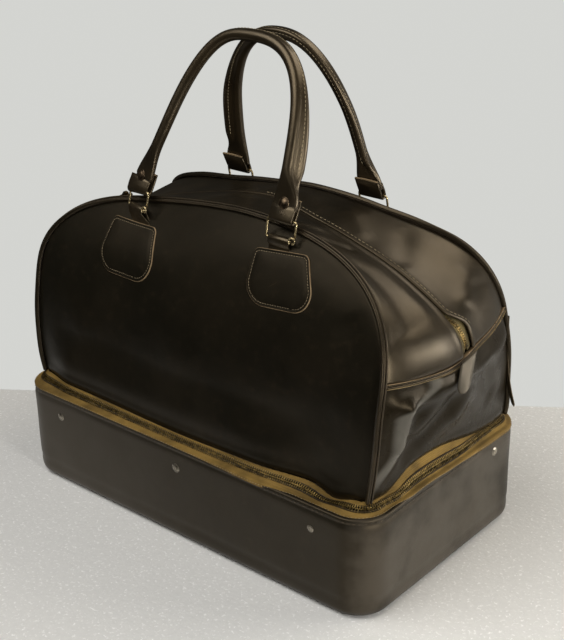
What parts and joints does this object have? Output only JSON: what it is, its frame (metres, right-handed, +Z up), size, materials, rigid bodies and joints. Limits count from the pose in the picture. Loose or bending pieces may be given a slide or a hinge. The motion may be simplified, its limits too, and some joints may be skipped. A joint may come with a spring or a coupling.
{
  "type": "travel bag",
  "caption": "Two-tier travel bag with a stiff zipped shoe compartment, an arched zip-top body above it, and rolled handles on wire rings.",
  "frame": {"origin": "middle of the base's footprint, on the surface that the bag stands on", "axes": "+Z up, -Y towards the front, +X to the right as seen from the front"},
  "size_m": [0.4518, 0.2434, 0.4459],
  "materials": {
    "leather": "dark olive-brown smooth hide, semi-gloss and softly worn",
    "edge_leather": "tan binding along the side seams",
    "tape": "golden ochre woven zip tape",
    "brass": "darkened antique brass",
    "steel": "dull domed stud heads",
    "board": "grey fibre board",
    "cloth": "brown lining cloth and twisted handle cord"
  },
  "bodies": {
    "base": {"base_wall": "leather", "base_bottom": "leather", "base_floor_board": "board", "base_wall_board": "board", "base_lining": "cloth", "base_rim_binding": "leather", "base_tape_lower": "tape", "base_teeth_lower": "brass", "base_studs": "steel", "rear_hinge_strip": "leather"},
    "base_slider": {"base_slider": "brass"},
    "base_pull": {"base_pull": "brass"},
    "upper_body": {"front_panel": "leather", "back_panel": "leather", "left_gusset": "leather", "right_gusset": "leather", "roof_front_left": "leather", "roof_front_right": "leather", "roof_back_left": "leather", "roof_back_right": "leather", "front_piping": "leather", "back_piping": "leather", "left_seam_binding": "edge_leather", "right_seam_binding": "edge_leather", "divider_panel": "leather", "divider_board": "board", "base_tape_upper": "tape", "base_teeth_upper": "brass", "front_left_patch": "leather", "front_right_patch": "leather", "back_left_patch": "leather", "back_right_patch": "leather", "front_left_chape": "leather", "front_right_chape": "leather", "back_left_chape": "leather", "back_right_chape": "leather", "top_tape_ends": "tape", "top_teeth_ends": "brass"},
    "front_flap": {"front_flap": "leather", "top_tape_front": "tape", "top_teeth_front": "brass"},
    "back_flap": {"back_flap": "leather", "top_tape_back": "tape", "top_teeth_back": "brass"},
    "top_slider": {"top_slider": "brass"},
    "top_pull": {"top_pull": "brass"},
    "front_rings": {"front_left_ring": "brass", "front_right_ring": "brass"},
    "back_rings": {"back_left_ring": "brass", "back_right_ring": "brass"},
    "front_handle": {"front_handle": "leather", "front_handle_core": "cloth", "front_handle_rivets": "brass"},
    "back_handle": {"back_handle": "leather", "back_handle_core": "cloth", "back_handle_rivets": "brass"},
    "left_end_tab": {"left_end_tab": "leather"},
    "right_end_tab": {"right_end_tab": "leather"},
    "rear_strap": {"rear_strap": "leather"}
  },
  "joints": [
    {"name": "upper_body_opens", "type": "hinge", "parent": "base", "child": "upper_body", "pos_m": [0, 0.105, 0.1037], "axis": [-1, 0, 0], "range_deg": [0, 95]},
    {"name": "base_slider_travels", "type": "hinge", "parent": "base", "child": "base_slider", "pos_m": [0, 0, -0.41967], "axis": [1, 0, 0], "range_deg": [0, 13.07]},
    {"name": "base_pull_lifts", "type": "hinge", "parent": "base_slider", "child": "base_pull", "pos_m": [-0.20739, 0.06023, 0.10621], "axis": [0.3035, 0.1084, 0.9466], "range_deg": [0, 150]},
    {"name": "front_flap_opens", "type": "hinge", "parent": "upper_body", "child": "front_flap", "pos_m": [0, -0.048, 0.301], "axis": [1, 0, 0], "range_deg": [0, 70]},
    {"name": "back_flap_opens", "type": "hinge", "parent": "upper_body", "child": "back_flap", "pos_m": [0, 0.048, 0.301], "axis": [-1, 0, 0], "range_deg": [0, 70]},
    {"name": "top_slider_travels", "type": "hinge", "parent": "upper_body", "child": "top_slider", "pos_m": [0, 0, -0.0794], "axis": [0, 1, 0], "range_deg": [0, 54]},
    {"name": "top_pull_lifts", "type": "hinge", "parent": "top_slider", "child": "top_pull", "pos_m": [-0.17481, 0, 0.26368], "axis": [0, 1, 0], "range_deg": [0, 150]},
    {"name": "front_rings_turn", "type": "hinge", "parent": "upper_body", "child": "front_rings", "pos_m": [0, -0.062, 0.289], "axis": [1, 0, 0], "range_deg": [0, 110]},
    {"name": "back_rings_turn", "type": "hinge", "parent": "upper_body", "child": "back_rings", "pos_m": [0, 0.062, 0.289], "axis": [-1, 0, 0], "range_deg": [0, 110]},
    {"name": "front_handle_swings", "type": "hinge", "parent": "front_rings", "child": "front_handle", "pos_m": [0, -0.05861, 0.30566], "axis": [1, 0, 0], "range_deg": [0, 60]},
    {"name": "back_handle_swings", "type": "hinge", "parent": "back_rings", "child": "back_handle", "pos_m": [0, 0.05861, 0.30566], "axis": [-1, 0, 0], "range_deg": [0, 60]},
    {"name": "left_end_tab_lifts", "type": "hinge", "parent": "upper_body", "child": "left_end_tab", "pos_m": [-0.2239, 0, 0.2026], "axis": [0, 1, 0], "range_deg": [0, 80]},
    {"name": "right_end_tab_lifts", "type": "hinge", "parent": "upper_body", "child": "right_end_tab", "pos_m": [0.2239, 0, 0.2026], "axis": [0, -1, 0], "range_deg": [0, 80]},
    {"name": "rear_strap_swings", "type": "hinge", "parent": "upper_body", "child": "rear_strap", "pos_m": [0.2, 0.09927, 0.192], "axis": [1, 0, 0], "range_deg": [0, 80]}
  ]
}
